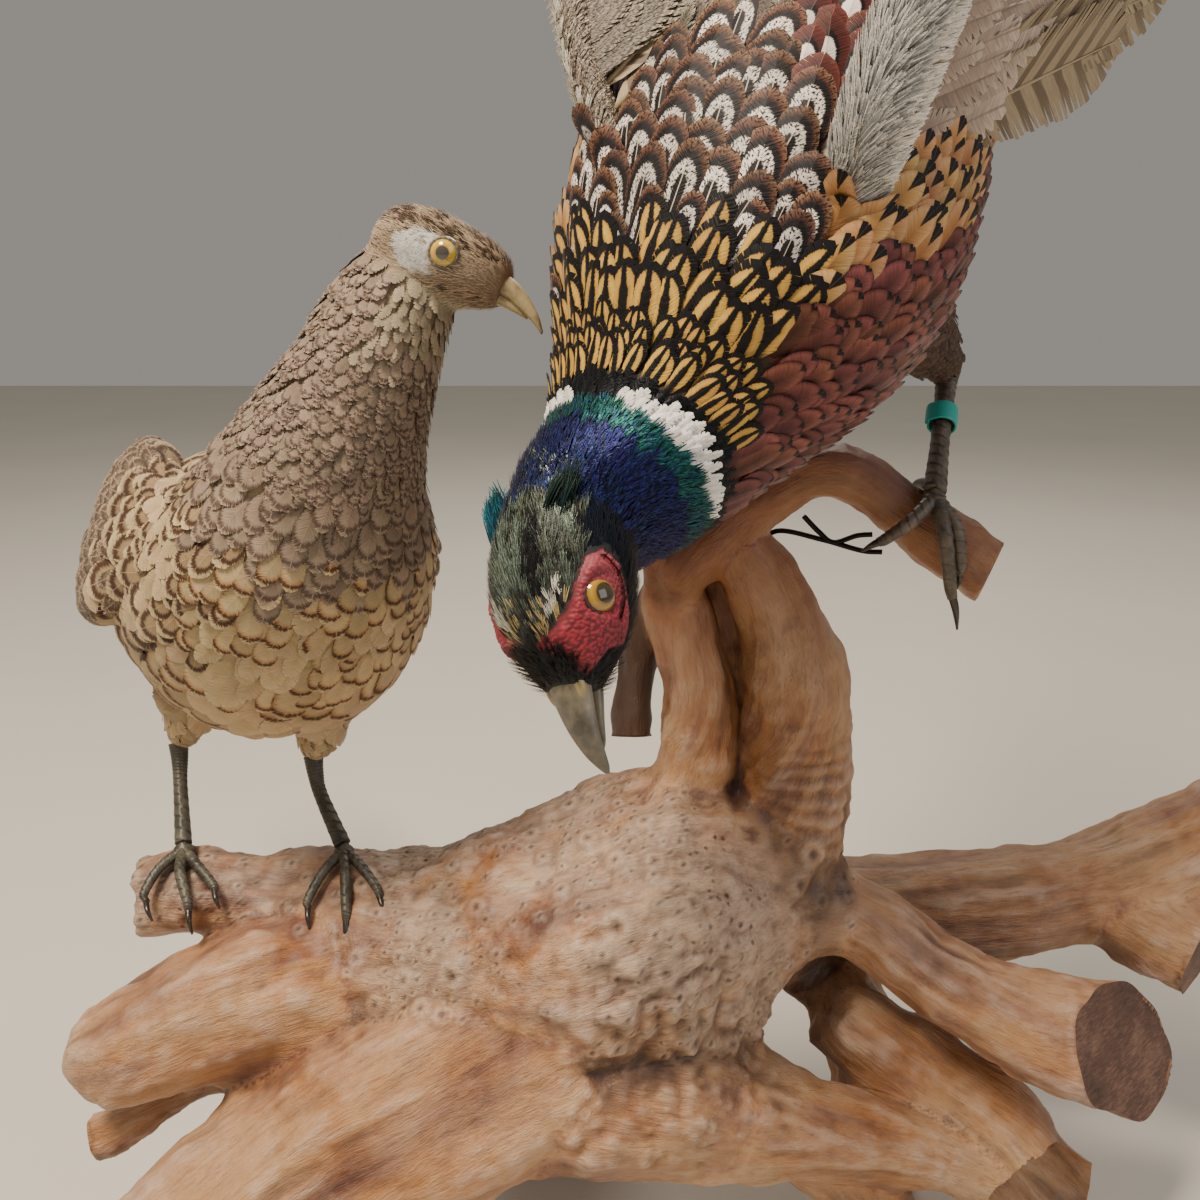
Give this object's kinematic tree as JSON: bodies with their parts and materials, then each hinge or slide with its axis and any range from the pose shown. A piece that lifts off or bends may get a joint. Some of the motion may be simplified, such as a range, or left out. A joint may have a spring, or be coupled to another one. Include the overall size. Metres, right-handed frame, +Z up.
{
  "type": "taxidermy pheasant pair on a polished root stand",
  "caption": "Mounted cock ring-necked pheasant leaning head down from a polished tree root with raised wings, with a hen standing below.",
  "frame": {"origin": "on the floor, under the middle of the whole model's box", "axes": "+Z up, -Y towards the viewer that the birds face, +X to that viewer's right"},
  "size_m": [0.619, 0.6256, 0.856],
  "materials": {
    "glass_eye": "glossy amber glass eye with a dark pupil",
    "bill_horn": "satin grey-brown horn",
    "cock_plumage": "overlapping feathers, gold and black mantle, copper breast, glossy green and violet neck with a white ring",
    "wing_plumage": "grey-blue coverts and barred brown flight feathers",
    "tail_plumage": "long buff-brown feathers with dark bars",
    "thigh_plumage": "soft dark brown feathers",
    "leg_scale": "dried scaly skin with glossy dark claws",
    "leg_band": "turquoise plastic",
    "hen_plumage": "buff feathers with brown and black centres",
    "root_wood": "varnished reddish-brown root wood with burls and dark cut ends",
    "tie_wire": "matt black"
  },
  "bodies": {
    "root": {"cock_eye_left": "glass_eye", "cock_eye_right": "glass_eye", "cock_bill_upper": "bill_horn", "cock_bill_lower": "bill_horn", "cock_head": "cock_plumage", "cock_neck": "cock_plumage", "cock_trunk": "cock_plumage", "cock_wing_left_inner": "wing_plumage", "cock_wing_left_outer": "wing_plumage", "cock_wing_right_inner": "wing_plumage", "cock_wing_right_outer": "wing_plumage", "cock_tail": "tail_plumage", "cock_foot_left": "leg_scale", "cock_shank_left": "leg_scale", "cock_thigh_left": "thigh_plumage", "cock_foot_right": "leg_scale", "cock_shank_right": "leg_scale", "cock_thigh_right": "thigh_plumage", "cock_leg_band": "leg_band", "hen": "hen_plumage", "root_burl": "root_wood", "root_stem_right": "root_wood", "root_stem_left": "root_wood", "root_perch": "root_wood", "root_stub_hanging": "root_wood", "root_leg_front": "root_wood", "root_lobe": "root_wood", "root_splinter": "root_wood", "root_ridge": "root_wood", "root_arm_flared": "root_wood", "root_arm_forked": "root_wood", "root_arm_stub": "root_wood", "root_prop_back": "root_wood", "root_arm_low": "root_wood", "root_leg_right": "root_wood", "root_prop_front": "root_wood", "root_leg_back": "root_wood", "mount_wire": "tie_wire"}
  },
  "joints": []
}
